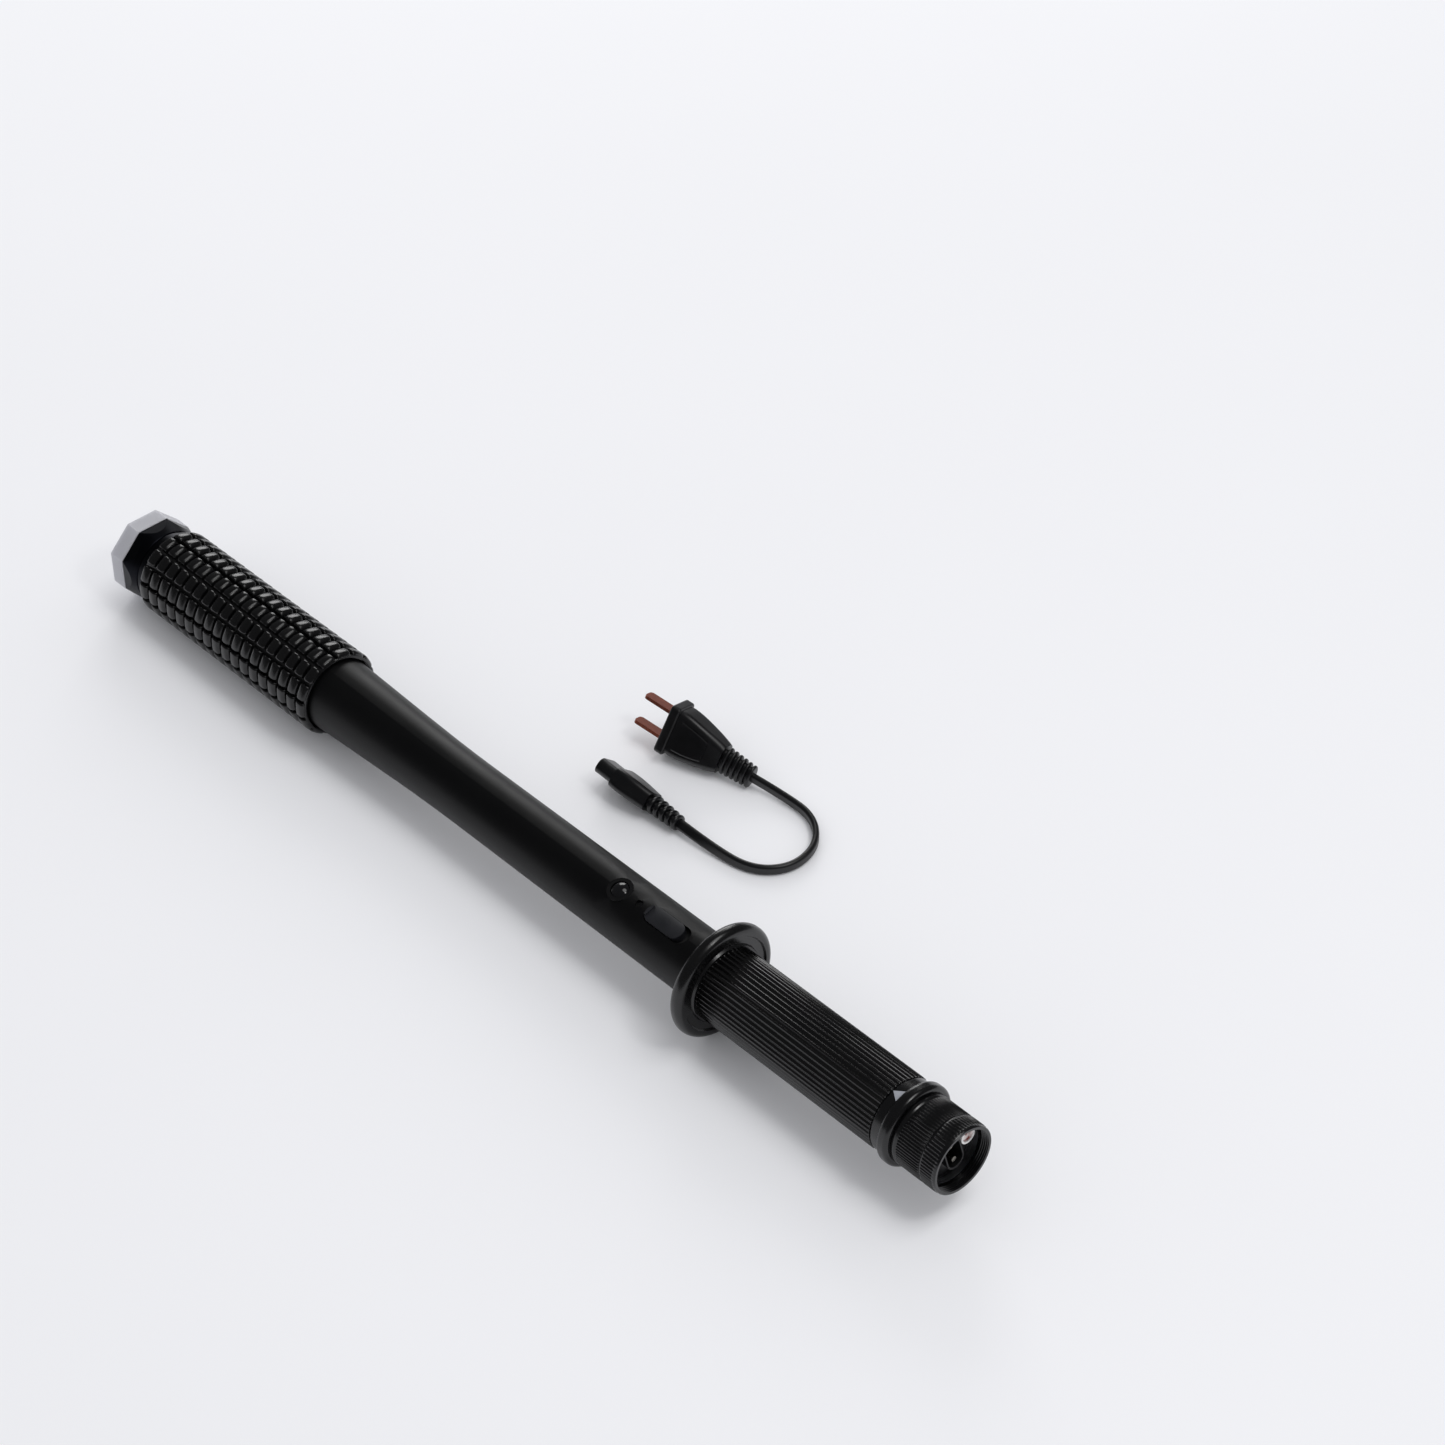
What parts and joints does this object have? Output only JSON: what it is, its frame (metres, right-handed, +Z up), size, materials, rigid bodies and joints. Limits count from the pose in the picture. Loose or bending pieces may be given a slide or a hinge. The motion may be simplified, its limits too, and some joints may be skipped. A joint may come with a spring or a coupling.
{
  "type": "rechargeable baton torch with charging lead",
  "caption": "Long black baton torch with hand guard, ribbed grip, studded rubber sleeve, pull-off octagonal lamp cap, tail charging inlet and a short two-pin charging lead.",
  "frame": {"origin": "on the table under the middle of the baton's box, the lead left out", "axes": "baton along X with its head towards -X, +Z up; the lead lies on the +Y side"},
  "size_m": [0.5234, 0.1402, 0.0518],
  "materials": {
    "black_anodised": "satin black anodised tube",
    "black_rubber": "semi-gloss moulded rubber",
    "black_abs": "moulded black ABS, fine satin",
    "gloss_black": "polished moulded black nylon",
    "bezel_satin": "satin blue-black anodised bezel",
    "milky_cap": "matte translucent polycarbonate",
    "clear_lens": "clear polycarbonate lens",
    "reflector_metal": "vacuum-metallised bowl",
    "raw_aluminium": "machined aluminium",
    "circuit_board": "glass-epoxy board with solder mask",
    "led_package": "silicone over phosphor",
    "steel": "zinc-plated steel",
    "cell_wrap": "shrink film on a steel can",
    "nickel": "nickel-plated brass",
    "copper": "coppery plated brass blades",
    "white_mark": "pale grey print",
    "white_ring": "white moulded ring",
    "red_lens": "red-brown translucent lens",
    "smoke_pipe": "dark smoked acrylic",
    "black_pvc": "soft black PVC moulding",
    "slider_grey": "dark grey moulded POM"
  },
  "bodies": {
    "baton": {"tail_rim": "gloss_black", "handle_tube": "raw_aluminium", "flange_ring": "gloss_black", "grip_collar": "gloss_black", "index_mark": "white_mark", "tail_seal": "black_rubber", "inlet_pins": "nickel", "inlet_socket": "black_abs", "charge_lamp_ring": "white_ring", "charge_lamp": "red_lens", "tail_floor": "black_abs", "floor_screws": "steel", "charge_board": "circuit_board", "inlet_wires": "black_pvc", "ribbed_grip": "black_rubber", "guard_disc": "gloss_black", "shaft_tube": "black_anodised", "studded_sleeve": "black_rubber", "head_ring": "bezel_satin", "reflector": "reflector_metal", "heat_sink": "raw_aluminium", "led_board": "circuit_board", "led_emitter": "led_package", "driver_board": "circuit_board", "battery_holder": "black_abs", "rear_cell": "cell_wrap", "front_cell": "cell_wrap", "rear_contact": "nickel", "front_contact": "nickel", "battery_spring": "steel", "shock_rings": "black_rubber", "lamp_wires": "black_pvc", "board_cradle": "black_abs", "switch_board": "circuit_board", "board_screws": "steel", "button_ring": "gloss_black", "tact_switch": "black_abs", "slider_guide": "black_abs", "slide_switch": "steel", "indicator_pipe": "smoke_pipe", "indicator_led": "led_package"},
    "tail_ring": {"tail_ring": "gloss_black"},
    "lens_bezel": {"lens_bezel": "bezel_satin", "front_lens": "clear_lens", "lens_seal": "black_rubber"},
    "end_cap": {"end_cap": "milky_cap"},
    "push_button": {"push_button": "gloss_black", "switch_plunger": "black_abs"},
    "thumb_slider": {"thumb_slider": "slider_grey"},
    "charging_lead": {"plug_body": "black_pvc", "plug_blades": "copper", "plug_relief": "black_pvc", "lead_cable": "black_pvc", "connector_relief": "black_pvc", "connector_body": "black_pvc", "connector_contacts": "nickel"}
  },
  "joints": [
    {"name": "button_press", "type": "slide", "parent": "baton", "child": "push_button", "axis": [0.0147, 0.2588, -0.9658], "range_m": [0, 0.001], "stiffness_N_per_m": 400, "springref_m": -0.002},
    {"name": "slider_slide", "type": "slide", "parent": "baton", "child": "thumb_slider", "axis": [0.9999, 0, 0.0152], "range_m": [0, 0.0031]},
    {"name": "tail_ring_turn", "type": "hinge", "parent": "baton", "child": "tail_ring", "pos_m": [0.2453, 0, 0.02773], "axis": [-0.9999, 0, -0.0152], "range_deg": [0, 60]},
    {"name": "bezel_turn", "type": "hinge", "parent": "baton", "child": "lens_bezel", "pos_m": [-0.24744, 0, 0.02023], "axis": [-0.9999, 0, -0.0152], "range_deg": [0, 90]},
    {"name": "cap_pull", "type": "slide", "parent": "lens_bezel", "child": "end_cap", "axis": [-0.9999, 0, -0.0152], "range_m": [0, 0.03]},
    {"name": "lead_lift", "type": "slide", "parent": "baton", "child": "charging_lead", "axis": [0, 0, 1], "range_m": [0, 0.1]}
  ]
}
